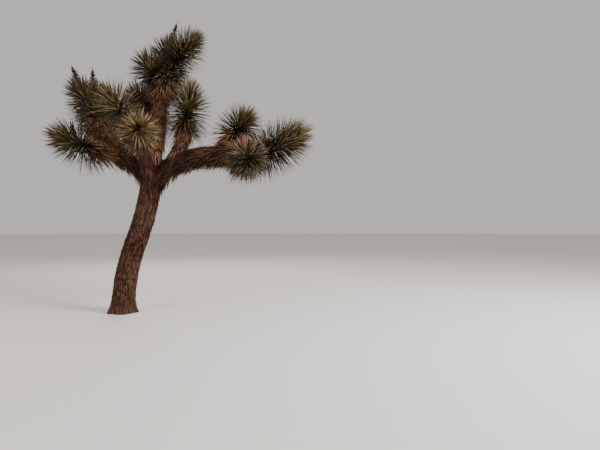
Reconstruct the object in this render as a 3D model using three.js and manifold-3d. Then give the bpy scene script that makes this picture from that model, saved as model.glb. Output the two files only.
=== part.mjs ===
// A joshua tree about 4.6 m tall, in millimetres, +Z up, with the origin on the ground under its trunk.
// It has a leaning trunk, boughs that fork from it, and a head of dagger leaves at the end of each branch.
import * as THREE from "three";
import { mergeVertices } from "three/addons/utils/BufferGeometryUtils.js";
import Module from "manifold-3d";

const wasm = await Module();
wasm.setup();

const { lerp, smoothstep, degToRad, seededRandom } = THREE.MathUtils;

// Clearances between neighbours: round a limb, at a carrier's tip, and round a leaf
const SEAM = 0.3;
const TIP_SEAM = 0.25;
const LEAF_CLEARANCE = 1.5;

// Sizes that every limb shares. A limb on a tip turns to its own bearing within the turn share.
const PATH_STEPS = 24;
const TURN_SHARE = 0.3;
const COLLAR_REACH = 110;

// The swell of the trunk's foot, with a lobe over each main root
const FLARE = { depth: 56, reach: 130, lobes: 5, lobeShare: 0.3 };

// Limbs, each after the one that carries it. "at" is the share of the carrier's length, and "radii" are
// at the foot and the tip. A bearing is [heading, rise] in degrees: the heading is counterclockwise
// from +X, and the rise is above level.
const LIMBS = [
  { name: "trunk", length: 2300, radii: [166, 150], sides: 18, rings: 18, finish: "bark",
    bearings: [[0, 90], [0, 69], [0, 86]] },
  { name: "leader", on: "trunk", at: 1, length: 1280, radii: [140, 100], collar: 24,
    bearings: [[32, 83], [15, 83]] },
  { name: "right_bough", on: "trunk", at: 0.86, length: 1610, radii: [158, 150], collar: 8,
    bearings: [[5, 62], [-11, 10], [-9, -3]] },
  { name: "left_bough", on: "trunk", at: 0.875, length: 770, radii: [130, 112], collar: 8,
    bearings: [[-176, 68], [-163, 14]] },
  { name: "front_bough", on: "trunk", at: 0.92, length: 850, radii: [96, 78], collar: 18,
    bearings: [[-94, 57], [-82, 20]] },
  { name: "back_bough", on: "trunk", at: 0.94, length: 1110, radii: [104, 80], collar: 18,
    bearings: [[111, 51], [119, 30]] },
  { name: "middle_left_bough", on: "trunk", at: 0.97, length: 760, radii: [92, 78], collar: 16,
    bearings: [[-98, 58], [-132, 51]] },
  { name: "upper_left_bough", on: "left_bough", at: 0.5, length: 870, radii: [96, 82], collar: 12,
    bearings: [[-179, 46], [160, 48]] },
  { name: "behind_bough", on: "leader", at: 0.4, length: 420, radii: [84, 74], collar: 12,
    bearings: [[105, 54], [131, 52]] },
  { name: "right_inner_bough", on: "right_bough", at: 0.28, length: 460, radii: [128, 112], collar: 14,
    bearings: [[5, 56], [0, 72]] },
  { name: "right_upper_bough", on: "right_bough", at: 0.68, length: 450, radii: [90, 80], collar: 8,
    bearings: [[34, 21], [-2, 54]] },
  { name: "old_stub", on: "right_bough", at: 0.22, length: 270, radii: [58, 48], rings: 2, finish: "deadwood",
    bearings: [[-74, 22]] },
];

// Heads of leaves, each on the tip of the limb that carries it, and the dried flower stalks on some
const HEADS = [
  { name: "foliage_top_right", on: "leader", length: 795, bearings: [[-17, 55], [-8, 40]] },
  { name: "foliage_top_left", on: "leader", length: 360, bearings: [[-122, 26], [-104, 36]] },
  { name: "foliage_top_middle", on: "leader", length: 690, bearings: [[95, 55], [41, 77]],
    stalk: { bearing: [-4, 75], length: 520 } },
  { name: "foliage_behind", on: "behind_bough", length: 440, bearings: [[157, 49]] },
  { name: "foliage_left_tip", on: "left_bough", length: 690, leafSize: 1.06,
    bearings: [[-166, 18], [178, 20]] },
  { name: "foliage_upper_left_outer", on: "upper_left_bough", length: 630, leafSize: 0.94,
    bearings: [[170, 64], [-177, 56]], stalk: { bearing: [180, 68], length: 480 } },
  { name: "foliage_upper_left_inner", on: "upper_left_bough", length: 720, bearings: [[108, 48], [146, 51]],
    stalk: { bearing: [180, 87], length: 490 } },
  { name: "foliage_middle_left", on: "middle_left_bough", length: 420, leafSize: 1.06,
    bearings: [[-123, 53], [-139, 47]] },
  { name: "foliage_front", on: "front_bough", length: 420, leafSize: 0.8, bearings: [[-71, 6]] },
  { name: "foliage_back_left", on: "back_bough", length: 770, bearings: [[137, 37]] },
  { name: "foliage_back_right", on: "back_bough", length: 550, bearings: [[82, 53]] },
  { name: "foliage_right_inner", on: "right_inner_bough", length: 650, leafSize: 1.08,
    bearings: [[-11, 86], [1, 79]] },
  { name: "foliage_right_upper", on: "right_upper_bough", length: 340, leafSize: 1.02,
    bearings: [[20, 47], [22, 53]] },
  { name: "foliage_right_lower", on: "right_bough", length: 480, leafSize: 0.9,
    bearings: [[-76, -17], [-70, -25]] },
  { name: "foliage_right_tip", on: "right_bough", length: 870, leafSize: 1.18,
    bearings: [[25, 12], [-2, 34]] },
];

// The crowded middle of a head, which its leaves stand out of
const CORE = { tipRadius: 62, swell: 58, dome: 0.3, domeRadius: 18, sides: 9, rings: 8 };

// A leaf. Its length is measured from the head's centre line, and its widest place is a share of it.
// A head's "leafSize" is the length of its leaves beside the usual.
const LEAF = { apexLength: 350, sideLength: 415, fullFrom: 0.35, wither: 30, halfWidth: 33, halfThick: 9 };
const WIDEST_AT = 0.12;

// How a head's leaves are set: how many, how they crowd to the apex, and how far they lean from its
// heading at the apex and the foot
const SET = { perMetre: 57, apexLeaves: 7, belowApex: 30, aboveFoot: 45, crowding: 1.5, droop: 0.3 };
const LEAN = { apex: 4, foot: 128, power: 0.62, jitter: 12 };
const SPIN = { golden: degToRad(137.5), jitter: 0.3 };
const LENGTH_JITTER = 0.14;
const GROWTH_SEED = 1893;

// A leaf that finds no room at one length is tried at the next, and it is tested at these shares of it
const LEAF_TRIES = [1, 0.86, 0.72, 0.58];
const LEAF_SAMPLES = [0.4, 0.5, 0.62, 0.75, 0.88, 1];

// A dried flower stalk: a bare stem with its seed cluster on it
const STALK = { sunk: 70, stemRadius: 15, clusterRadius: 60, sides: 8 };

const FINISHES = {
  bark: { color: 0x5a3c2d, roughness: 0.95, metalness: 0 },
  thatch: { color: 0x6b4f3b, roughness: 1, metalness: 0 },
  deadwood: { color: 0x3b2a22, roughness: 0.9, metalness: 0 },
  leaves: { color: 0x59562f, roughness: 0.6, metalness: 0 },
};

function bearingVector([heading, rise]) {
  const across = Math.cos(degToRad(rise));
  const east = across * Math.cos(degToRad(heading));
  const north = across * Math.sin(degToRad(heading));
  return new THREE.Vector3(east, north, Math.sin(degToRad(rise)));
}

function perpendicular(vector, heading) {
  return vector.clone().addScaledVector(heading, -vector.dot(heading)).normalize();
}

// A closed solid from a three.js geometry, with its shared corners merged and its empty faces dropped.
function solidOf(geometry) {
  geometry.deleteAttribute("normal");
  geometry.deleteAttribute("uv");
  const merged = mergeVertices(geometry, 1e-3);
  const corners = [];
  for (let i = 0; i < merged.index.count; i += 3) {
    const [a, b, c] = [0, 1, 2].map((k) => merged.index.getX(i + k));
    if (a !== b && b !== c && c !== a) corners.push(a, b, c);
  }
  const vertProperties = new Float32Array(merged.getAttribute("position").array);
  return new wasm.Manifold(new wasm.Mesh({ numProp: 3, vertProperties, triVerts: new Uint32Array(corners) }));
}

// One tapering limb: a centre line of stations, and a radius along it.
class Limb {
  constructor(spec, carrier) {
    Object.assign(this, { collar: 0, sides: 10, rings: 7, finish: "thatch" }, spec);
    this.carrier = carrier;
    this.knots = this.headingKnots();
    this.line = this.centreLine();
  }

  get onTip() {
    return this.at === 1;
  }

  // Headings at shares of the length. A limb on a tip starts along its carrier's heading.
  headingKnots() {
    const own = this.bearings.map(bearingVector);
    if (own.length === 1) own.push(own[0]);
    const start = this.onTip ? TURN_SHARE : 0;
    const knots = own.map((heading, i) => ({ t: lerp(start, 1, i / (own.length - 1)), heading }));
    if (this.onTip) knots.unshift({ t: 0, heading: this.carrier.stationAt(1).heading });
    return knots;
  }

  headingAt(t) {
    const next = this.knots.findIndex((knot, i) => i > 0 && (knot.t >= t || i === this.knots.length - 1));
    const [from, to] = [this.knots[next - 1], this.knots[next]];
    return from.heading.clone().lerp(to.heading, (t - from.t) / (to.t - from.t)).normalize();
  }

  // Places, headings and side vectors at even steps from the foot to the tip.
  centreLine() {
    const origin = new THREE.Vector3();
    const ground = { place: origin, heading: origin, side: new THREE.Vector3(1, 0, 0) };
    const seat = this.carrier ? this.carrier.stationAt(this.at) : ground;
    const place = seat.place.clone().addScaledVector(seat.heading, this.onTip ? SEAM : 0);
    const stride = this.length / PATH_STEPS;
    const stations = [];
    let side = seat.side;
    for (let i = 0; i <= PATH_STEPS; i++) {
      const heading = this.headingAt(i / PATH_STEPS);
      side = perpendicular(side, heading);
      stations.push({ place: place.clone(), heading, side });
      place.addScaledVector(this.headingAt(Math.min(1, (i + 0.5) / PATH_STEPS)), stride);
    }
    return stations;
  }

  stationAt(t) {
    const reach = t * PATH_STEPS;
    const i = Math.min(PATH_STEPS - 1, Math.floor(reach));
    const [from, to] = [this.line[i], this.line[i + 1]];
    const place = from.place.clone().lerp(to.place, reach - i);
    const heading = from.heading.clone().lerp(to.heading, reach - i).normalize();
    const side = perpendicular(from.side.clone().lerp(to.side, reach - i), heading);
    return { place, heading, side };
  }

  radiusAt(t) {
    return lerp(this.radii[0], this.radii[1], t) + this.collar * Math.exp((-t * this.length) / COLLAR_REACH);
  }

  // Distance from a point to the centre line, and the share of the length where that is.
  nearest(point) {
    let best = { distance: Infinity, t: 0 };
    const segment = new THREE.Line3();
    const foot = new THREE.Vector3();
    for (let i = 0; i < PATH_STEPS; i++) {
      segment.set(this.line[i].place, this.line[i + 1].place);
      const along = segment.closestPointToPointParameter(point, true);
      const distance = segment.at(along, foot).distanceTo(point);
      if (distance < best.distance) best = { distance, t: (i + along) / PATH_STEPS };
    }
    return best;
  }

  // A cylinder whose rings are laid along the centre line. "grow" makes it that much fatter and longer.
  tube(grow = 0) {
    const geometry = new THREE.CylinderGeometry(1, 1, 1, this.sides, this.rings);
    const position = geometry.getAttribute("position");
    const corner = new THREE.Vector3();
    for (let i = 0; i < position.count; i++) {
      corner.fromBufferAttribute(position, i);
      const t = corner.y + 0.5;
      const { place, heading, side } = this.stationAt(t);
      const out = side.clone().multiplyScalar(corner.x);
      out.addScaledVector(new THREE.Vector3().crossVectors(side, heading), corner.z);
      place.addScaledVector(out, this.radiusAt(t, Math.atan2(corner.z, corner.x)) + grow);
      place.addScaledVector(heading, (2 * t - 1) * grow);
      position.setXYZ(i, place.x, place.y, place.z);
    }
    return solidOf(geometry);
  }

  solid() {
    return this.tube();
  }
}

class Trunk extends Limb {
  radiusAt(t, angle = 0) {
    const swell = FLARE.depth * Math.exp((-t * this.length) / FLARE.reach);
    return super.radiusAt(t) + swell * (1 + FLARE.lobeShare * Math.cos(FLARE.lobes * angle));
  }
}

// A head of leaves round the last stretch of a branch.
class Head extends Limb {
  constructor(spec, carrier, crown) {
    const radii = [carrier.radii[1], CORE.tipRadius];
    const shared = { at: 1, radii, sides: CORE.sides, rings: CORE.rings, finish: "leaves" };
    super({ leafSize: 1, ...spec, ...shared }, carrier);
    this.crown = crown;
  }

  // The core swells from its carrier's tip, as the leaves crowd there, and closes with a dome.
  radiusAt(t) {
    const body = lerp(this.radii[0], this.radii[1], t) + CORE.swell * Math.sin(Math.PI * t);
    const into = Math.max(0, (t - (1 - CORE.dome)) / CORE.dome);
    return Math.max(CORE.domeRadius, body * Math.sqrt(Math.max(0, 1 - into * into)));
  }

  // Where the leaves sit. "u" runs from 0 at the apex to 1 at the foot of the head.
  leafSeats() {
    const count = Math.round((SET.perMetre * this.length) / 1000) + SET.apexLeaves;
    const seats = [];
    for (let i = 0; i < count; i++) {
      const u = (i + 0.5) / count;
      const evenLean = lerp(LEAN.apex, LEAN.foot, u ** LEAN.power);
      const lean = degToRad(evenLean + LEAN.jitter * (seededRandom() - 0.5));
      const spin = i * SPIN.golden + SPIN.jitter * (seededRandom() - 0.5);
      const depth = lerp(SET.belowApex, this.length - SET.aboveFoot, u ** SET.crowding);
      const { place, heading, side } = this.stationAt(1 - depth / this.length);
      const out = side.clone().multiplyScalar(Math.cos(spin));
      out.addScaledVector(new THREE.Vector3().crossVectors(side, heading), Math.sin(spin));
      const along = heading.clone().multiplyScalar(Math.cos(lean)).addScaledVector(out, Math.sin(lean));
      along.z -= SET.droop * u * u;
      along.normalize();
      const grown = lerp(LEAF.apexLength, LEAF.sideLength, smoothstep(u, 0, LEAF.fullFrom)) - LEAF.wither * u;
      const length = this.leafSize * grown * (1 + LENGTH_JITTER * (seededRandom() - 0.5));
      seats.push({ place, heading, along, length });
    }
    return seats;
  }

  // A leaf may reach a point that is clear of every other limb and nearer this head than any other.
  isFree(point, halfWidth) {
    const own = this.nearest(point).distance;
    const others = this.crown.filter((limb) => limb !== this);
    const clear = others.every((limb) => {
      const { distance, t } = limb.nearest(point);
      const margin = halfWidth + LEAF_CLEARANCE;
      return distance > limb.radiusAt(t) + margin && (!(limb instanceof Head) || distance - own > 2 * margin);
    });
    return clear && point.z > halfWidth;
  }

  // The longest cut of a leaf that keeps to this head's space, or 0 where none does.
  freeLength(seat) {
    const fits = (length) =>
      LEAF_SAMPLES.every((share) => {
        const point = seat.place.clone().addScaledVector(seat.along, share * length);
        return this.isFree(point, (LEAF.halfWidth * (1 - share)) / (1 - WIDEST_AT));
      });
    return seat.length * (LEAF_TRIES.find((cut) => fits(cut * seat.length)) ?? 0);
  }

  // A leaf is an octahedron stretched to a blade, with its root on the centre line.
  leaf(seat, length) {
    const geometry = new THREE.OctahedronGeometry(1);
    geometry.scale(LEAF.halfWidth, 1, LEAF.halfThick);
    const position = geometry.getAttribute("position");
    for (let i = 0; i < position.count; i++) {
      const y = position.getY(i);
      position.setY(i, length * (y < 0 ? 0 : lerp(WIDEST_AT, 1, y)));
    }
    const across = new THREE.Vector3().crossVectors(seat.along, seat.heading).normalize();
    const flat = new THREE.Vector3().crossVectors(across, seat.along);
    geometry.applyMatrix4(new THREE.Matrix4().makeBasis(across, seat.along, flat).setPosition(seat.place));
    return solidOf(geometry);
  }

  flowerStalk() {
    const { bearing, length } = this.stalk;
    const outline = [
      [0, -STALK.sunk],
      [STALK.stemRadius, -STALK.sunk],
      [STALK.stemRadius, 0.25 * length],
      [STALK.clusterRadius, 0.36 * length],
      [0.7 * STALK.clusterRadius, 0.66 * length],
      [0, length],
    ];
    const geometry = new THREE.LatheGeometry(outline.map(([x, y]) => new THREE.Vector2(x, y)), STALK.sides);
    const up = new THREE.Vector3(0, 1, 0);
    geometry.applyQuaternion(new THREE.Quaternion().setFromUnitVectors(up, bearingVector(bearing)));
    const { place } = this.stationAt(1);
    geometry.translate(place.x, place.y, place.z);
    return solidOf(geometry);
  }

  // The core, its leaves and its flower stalk, fused.
  solid() {
    let solid = this.tube();
    for (const seat of this.leafSeats()) {
      const length = this.freeLength(seat);
      if (length > 0) solid = solid.add(this.leaf(seat, length));
    }
    return this.stalk ? solid.add(this.flowerStalk()) : solid;
  }
}

function largestBody(solid) {
  return solid.decompose().reduce((best, body) => (body.volume() > best.volume() ? body : best));
}

function meshOf(name, solid, finish) {
  const { vertProperties, triVerts } = solid.getMesh();
  const geometry = new THREE.BufferGeometry();
  geometry.setAttribute("position", new THREE.BufferAttribute(vertProperties, 3));
  geometry.setIndex(new THREE.BufferAttribute(triVerts, 1));
  geometry.computeVertexNormals();
  const mesh = new THREE.Mesh(geometry, new THREE.MeshStandardMaterial(finish));
  mesh.name = name;
  return mesh;
}

// Lays out every limb and head, so that each head's leaves know what to keep clear of.
function layOutCrown() {
  const crown = [];
  const carrierOf = (spec) => crown.find((limb) => limb.name === spec.on);
  for (const spec of LIMBS) crown.push(spec.on ? new Limb(spec, carrierOf(spec)) : new Trunk(spec));
  for (const spec of HEADS) crown.push(new Head(spec, carrierOf(spec), crown));
  return crown;
}

// Each limb and head is cut clear of those that come before it.
function buildTree() {
  const tree = new THREE.Group();
  const earlier = [];
  seededRandom(GROWTH_SEED);
  for (const limb of layOutCrown()) {
    let solid = limb.solid();
    for (const other of earlier) {
      const touchesTip = limb.onTip && other === limb.carrier;
      solid = solid.subtract(other.tube(touchesTip ? TIP_SEAM : SEAM));
    }
    earlier.push(limb);
    tree.add(meshOf(limb.name, largestBody(solid), FINISHES[limb.finish]));
  }
  return tree;
}

const group = buildTree();
export default group;
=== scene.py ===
"""A joshua tree: corky trunk, boughs thatched with dead leaves, and heads of dagger leaves.

Sizes in the tables are millimetres and degrees, as a grower would tape them, and MM turns them to
metres. The limbs follow the same rule as the solids, and leaves, thatch and bark grow on from them.
"""

import logging
import math
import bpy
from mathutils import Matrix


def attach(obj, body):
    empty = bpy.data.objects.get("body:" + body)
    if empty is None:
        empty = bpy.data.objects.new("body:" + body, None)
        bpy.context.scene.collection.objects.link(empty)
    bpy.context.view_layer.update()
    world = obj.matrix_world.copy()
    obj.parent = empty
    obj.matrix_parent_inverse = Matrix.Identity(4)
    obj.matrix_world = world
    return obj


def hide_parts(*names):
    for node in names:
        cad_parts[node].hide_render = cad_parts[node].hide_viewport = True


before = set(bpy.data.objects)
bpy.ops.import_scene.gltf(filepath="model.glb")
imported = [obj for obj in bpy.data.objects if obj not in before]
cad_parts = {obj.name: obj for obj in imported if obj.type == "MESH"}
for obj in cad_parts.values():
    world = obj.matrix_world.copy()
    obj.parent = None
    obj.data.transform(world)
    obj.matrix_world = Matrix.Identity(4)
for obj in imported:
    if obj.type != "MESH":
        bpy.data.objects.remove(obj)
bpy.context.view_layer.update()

import zlib
from dataclasses import dataclass
from enum import Enum
from functools import cache, partial
from typing import Callable, Optional, Sequence

import bpy
import numpy as np
from mathutils import Vector

log = logging.getLogger("joshua_tree")

Array = np.ndarray
Draws = np.random.Generator
Piece = bpy.types.Object
Pair = tuple[float, float]
Triple = tuple[float, float, float]
Aimed = tuple[Pair, float]
Shape = tuple[Array, Array]

MESH_OPS = bpy.ops.mesh
MM = 0.001
TURN = 2 * math.pi
GOLDEN_ANGLE = math.radians(137.5)
UP = np.array([0.0, 0.0, 1.0])
GROWTH_SEED = 1893
BODY = "root"


# Numbers and directions


def draws_for(name: str) -> Draws:
    """Random draws that belong to one piece alone, the same in every run."""
    return np.random.default_rng([GROWTH_SEED, zlib.crc32(name.encode())])


def unit(vectors: Array) -> Array:
    """Vectors brought to length one."""
    return vectors / np.maximum(np.linalg.norm(vectors, axis=-1, keepdims=True), 1e-12)


def mix(a: Array, b: Array, share: Array) -> Array:
    """The value a share of the way from a to b."""
    return a + (b - a) * share


def smoothstep(x: Array, low: float, high: float) -> Array:
    """0 below low, 1 above high, and a smooth rise between."""
    t = np.clip((x - low) / (high - low), 0, 1)
    return t * t * (3 - 2 * t)


def column(values: Array | float) -> Array:
    """One number per row, shaped to multiply rows of vectors."""
    return np.reshape(values, (-1, 1))


def square_to(vectors: Array, headings: Array) -> Array:
    """Vectors with their part along the headings taken out, at length one."""
    along = np.sum(vectors * headings, axis=-1, keepdims=True)
    return unit(vectors - along * headings)


def turned_out(along: Array, out: Array, least: float) -> Array:
    """Directions turned out to where they stand off the limb by the least share."""
    proud = np.sum(along * out, axis=1)
    return unit(along + out * column(np.maximum(0, least - proud)))


def swung(first: Array, second: Array, angle: Array) -> Array:
    """Directions at angles from the first towards the second, in radians."""
    return first * column(np.cos(angle)) + second * column(np.sin(angle))


def bearing_vector(bearing: Pair) -> Array:
    """The direction of a bearing: heading counterclockwise from +X and rise above level, in degrees."""
    (x, y), (level, z) = ((math.cos(angle), math.sin(angle)) for angle in map(math.radians, bearing))
    return np.array([level * x, level * y, z])


# Finishes


def linear(srgb_hex: str) -> tuple[float, ...]:
    """An sRGB colour of six hex digits as the linear red, green, blue and alpha that shaders take."""
    parts = (int(srgb_hex[i : i + 2], 16) / 255 for i in (0, 2, 4))
    return *(c / 12.92 if c <= 0.04045 else ((c + 0.055) / 1.055) ** 2.4 for c in parts), 1.0


def add_node(
    tree: bpy.types.NodeTree,
    kind: str,
    settings: Optional[dict] = None,
    values: Optional[dict] = None,
    links: Optional[dict] = None,
    out: int | str = 0,
) -> bpy.types.NodeSocket:
    """Adds a shader node with its settings, its socket values and its incoming links.

    Args:
        tree: The material's node tree.
        kind: The node's type, without the words that all share.
        settings: Properties of the node.
        values: Values by input socket.
        links: Output sockets by input socket.
        out: The output socket that is wanted.

    Returns:
        That output socket.
    """
    node = tree.nodes.new("ShaderNode" + kind)
    for key, value in (settings or {}).items():
        setattr(node, key, value)
    for key, value in (values or {}).items():
        node.inputs[key].default_value = value
    for key, source in (links or {}).items():
        tree.links.new(source, node.inputs[key])
    return node.outputs[out]


def fresh_material(
    name: str, roughness: float, specular: float = 0.5
) -> tuple[bpy.types.Material, bpy.types.Node]:
    """A new material with a Principled surface.

    Args:
        name: The material's name.
        roughness: The surface's roughness.
        specular: The surface's specular level.

    Returns:
        The material and its surface.
    """
    material = bpy.data.materials.new(name)
    material.use_nodes = True
    surface = material.node_tree.nodes["Principled BSDF"]
    surface.inputs["Roughness"].default_value = roughness
    surface.inputs["Specular IOR Level"].default_value = specular
    return material, surface


@dataclass(frozen=True)
class LeafFinish:
    """A leaf's surface in one even colour. A head takes its tints leaf by leaf, from several of these."""

    name: str
    colour: str
    roughness: float = 0.8
    specular: float = 0.35

    @cache
    def material(self) -> bpy.types.Material:
        """The finish as a material, made once.

        Returns:
            The material.
        """
        material, surface = fresh_material(self.name, self.roughness, self.specular)
        material.diffuse_color = surface.inputs["Base Color"].default_value = linear(self.colour)
        return material


@dataclass(frozen=True)
class BarkFinish:
    """Cork that split into long plates: matt, pale on the plates, and dark in the furrows as painted shade.
    """

    name: str
    furrow: str
    dark_plate: str
    pale_plate: str
    grain_mm: float = 9.0
    stain_mm: float = 260.0

    @cache
    def material(self) -> bpy.types.Material:
        """The finish as a material, made once. It reads the plates that the mesh carries as attributes.

        Returns:
            The material.
        """
        material, surface = fresh_material(self.name, 0.95, 0.2)
        add = partial(add_node, material.node_tree)
        blend = {"data_type": "RGBA"}
        place = add("TexCoord", out="Object")
        raised, tone = (add("Attribute", {"attribute_name": key}, out="Fac") for key in ("raised", "tone"))
        upright = add("Mapping", values={"Scale": (1.0, 1.0, 0.22)}, links={"Vector": place})
        fine = {"Scale": 1 / (self.grain_mm * MM), "Detail": 4.0, "Roughness": 0.6}
        grain = add("TexNoise", values=fine, links={"Vector": upright})
        coarse = {"Scale": 1 / (self.stain_mm * MM), "Detail": 2.0}
        stain = add("TexNoise", values=coarse, links={"Vector": place})
        worn = add("Math", {"operation": "MULTIPLY_ADD"}, {1: 0.9}, {0: grain, 2: tone})
        paleness = add("MapRange", values={"From Min": 0.35, "From Max": 1.35}, links={"Value": worn})
        ends = {6: linear(self.dark_plate), 7: linear(self.pale_plate)}
        plates = add("Mix", blend, ends, {0: paleness}, out=2)
        # Painted shade: the furrows, where the plates sink, take the near-black furrow colour; the large
        # stains, a real tint, vary how dark they go.
        clamped = {"operation": "MULTIPLY_ADD", "use_clamp": True}
        depth = add("Math", clamped, {1: 0.5}, {0: stain, 2: raised})
        lit = add("MapRange", values={"From Min": 0.3, "From Max": 1.0}, links={"Value": depth})
        colour = add("Mix", blend, {6: linear(self.furrow)}, {0: lit, 7: plates}, out=2)
        bump = add("Bump", values={"Strength": 0.5, "Distance": 3 * MM}, links={"Height": grain})
        material.node_tree.links.new(colour, surface.inputs["Base Color"])
        material.node_tree.links.new(bump, surface.inputs["Normal"])
        return material


class Tint(Enum):
    """The leaf finishes that heads and boughs are dealt from."""

    SPEAR_GREEN = LeafFinish("waxy_leaf_deep_green", "2E260B", 0.5, 0.5)
    OLIVE = LeafFinish("waxy_leaf_olive", "4C3C16", 0.5, 0.5)
    GREY_OLIVE = LeafFinish("waxy_leaf_grey_olive", "5F4D2C", 0.55, 0.45)
    PALE_OLIVE = LeafFinish("waxy_leaf_pale_olive", "806B45", 0.5, 0.45)
    YELLOWED = LeafFinish("waxy_leaf_yellowed", "A88C58", 0.55, 0.4)
    STRAW = LeafFinish("papery_leaf_straw", "A07C5E")
    ORANGE_TAN = LeafFinish("papery_leaf_orange_tan", "854B2A")
    RED_BROWN = LeafFinish("papery_leaf_red_brown", "583325")
    ROSE_BROWN = LeafFinish("papery_leaf_rose_brown", "7E5747")
    GREY_BROWN = LeafFinish("weathered_leaf_grey_brown", "4A3023", 0.9, 0.25)
    DARK_BROWN = LeafFinish("weathered_leaf_dark_brown", "2E1C12", 0.9, 0.2)
    CORK_PALE = LeafFinish("cork_flake_pale", "735141", 0.95, 0.2)
    CORK = LeafFinish("cork_flake_brown", "472C22", 0.95, 0.2)
    CORK_DARK = LeafFinish("cork_flake_dark", "2C1A11", 0.95, 0.15)
    SEED_POD = LeafFinish("dried_flower_stalk", "33231D", 0.85, 0.3)


BARK = BarkFinish("furrowed_corky_bark", "1A0E08", "341E13", "5E4134")
# A darker copy of the bark, painted shade for the wood under the thatch and inside the heads.
UNDER_THATCH = BarkFinish("corky_bough_under_thatch", "150D0A", "2B1C15", "432D23")
DEAD_STUB = BarkFinish("weathered_broken_stub", "0E0806", "22150F", "3C281E", 14.0)


class Live(Enum):
    """What a head's live leaves are dealt from, by how painted light and shade and their ageing have tinted
    it.
    """

    SUNLIT = {Tint.PALE_OLIVE: 0.36, Tint.YELLOWED: 0.16, Tint.GREY_OLIVE: 0.28, Tint.OLIVE: 0.2}
    PALE = {Tint.PALE_OLIVE: 0.3, Tint.GREY_OLIVE: 0.32, Tint.OLIVE: 0.3, Tint.YELLOWED: 0.08}
    USUAL = {Tint.OLIVE: 0.34, Tint.GREY_OLIVE: 0.3, Tint.SPEAR_GREEN: 0.22, Tint.PALE_OLIVE: 0.14}
    EVEN = {Tint.OLIVE: 0.66, Tint.SPEAR_GREEN: 0.1, Tint.GREY_OLIVE: 0.24}
    DARK = {Tint.SPEAR_GREEN: 0.42, Tint.OLIVE: 0.28, Tint.GREY_OLIVE: 0.2, Tint.PALE_OLIVE: 0.1}
    SHADED = {Tint.SPEAR_GREEN: 0.5, Tint.OLIVE: 0.2, Tint.DARK_BROWN: 0.3}


class Dead(Enum):
    """What a skirt or a bough's thatch is dealt from, palest first, and the two kinds of broken cork."""

    ORANGE = {Tint.STRAW: 0.4, Tint.ORANGE_TAN: 0.52, Tint.RED_BROWN: 0.08}
    # Paler straw and orange tan: painted light, lifting the thatch and skirts where it is dealt.
    BLEACHED = {Tint.STRAW: 0.6, Tint.ORANGE_TAN: 0.4}
    FAWN = {Tint.STRAW: 0.5, Tint.ORANGE_TAN: 0.26, Tint.ROSE_BROWN: 0.24}
    TAN = {Tint.STRAW: 0.34, Tint.ORANGE_TAN: 0.22, Tint.ROSE_BROWN: 0.26, Tint.GREY_BROWN: 0.18}
    ROSE = {Tint.STRAW: 0.26, Tint.ROSE_BROWN: 0.4, Tint.RED_BROWN: 0.16, Tint.GREY_BROWN: 0.18}
    DUSKY = {Tint.STRAW: 0.12, Tint.ROSE_BROWN: 0.36, Tint.GREY_BROWN: 0.52}
    RUSSET = {Tint.ORANGE_TAN: 0.22, Tint.RED_BROWN: 0.36, Tint.GREY_BROWN: 0.28, Tint.DARK_BROWN: 0.14}
    UMBER = {Tint.ROSE_BROWN: 0.16, Tint.RED_BROWN: 0.2, Tint.GREY_BROWN: 0.36, Tint.DARK_BROWN: 0.28}
    FLAKED_CORK = {Tint.CORK_PALE: 0.2, Tint.CORK: 0.45, Tint.CORK_DARK: 0.35}
    SPLINTERED = {Tint.DARK_BROWN: 0.6, Tint.CORK_DARK: 0.4}


# Meshes


def added(operator: Callable, **options: object) -> Piece:
    """The object that an adding operator makes, alone in the selection.

    Args:
        operator: The operator.
        options: What it is called with.

    Returns:
        The new object.
    """
    bpy.ops.object.select_all(action="DESELECT")
    operator(**options)
    return bpy.context.object


def linked(name: str, data: bpy.types.ID) -> Piece:
    """A new object in the scene, at the origin, of a mesh, a camera or a light."""
    bpy.context.scene.collection.objects.link(ob := bpy.data.objects.new(name, data))
    return ob


def mesh_arrays(ob: Piece, remove: bool = False) -> Shape:
    """An object's mesh as arrays.

    Args:
        ob: The object.
        remove: True to remove it from the scene.

    Returns:
        Its vertices (n, 3) and its triangles (m, 3).
    """
    mesh = ob.data
    mesh.calc_loop_triangles()
    vertices = np.empty(len(mesh.vertices) * 3)
    mesh.vertices.foreach_get("co", vertices)
    triangles = np.empty(len(mesh.loop_triangles) * 3, np.int32)
    mesh.loop_triangles.foreach_get("vertices", triangles)
    if remove:
        bpy.data.objects.remove(ob)
    return vertices.reshape(-1, 3), triangles.reshape(-1, 3)


def repeated(triangles: Array, copies: int, step: int) -> Array:
    """The triangles of copies whose vertices follow each other, a step of them each."""
    return (triangles[None] + (np.arange(copies) * step)[:, None, None]).reshape(-1, 3)


def joined_piece(name: str, vertices: Array, triangles: Array) -> Piece:
    """One object from arrays, for copies that number in the thousands.

    Args:
        name: The piece's name.
        vertices: Places, (n, 3).
        triangles: Corners, (m, 3).

    Returns:
        The object, at the origin.
    """
    mesh = bpy.data.meshes.new(name)
    mesh.vertices.add(len(vertices))
    mesh.vertices.foreach_set("co", vertices.astype(np.float32).ravel())
    mesh.loops.add(triangles.size)
    mesh.loops.foreach_set("vertex_index", triangles.astype(np.int32).ravel())
    mesh.polygons.add(len(triangles))
    mesh.polygons.foreach_set("loop_start", np.arange(0, triangles.size, 3, dtype=np.int32))
    mesh.update(calc_edges=True)
    return linked(name, mesh)


def hand_over(ob: Piece, node: str) -> None:
    """Makes a finished piece part of the tree.

    Args:
        ob: The piece.
        node: The solid that it stands for.
    """
    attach(ob, BODY)
    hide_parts(node)
    log.info("%-34s %7d faces", ob.name, len(ob.data.polygons))


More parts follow.
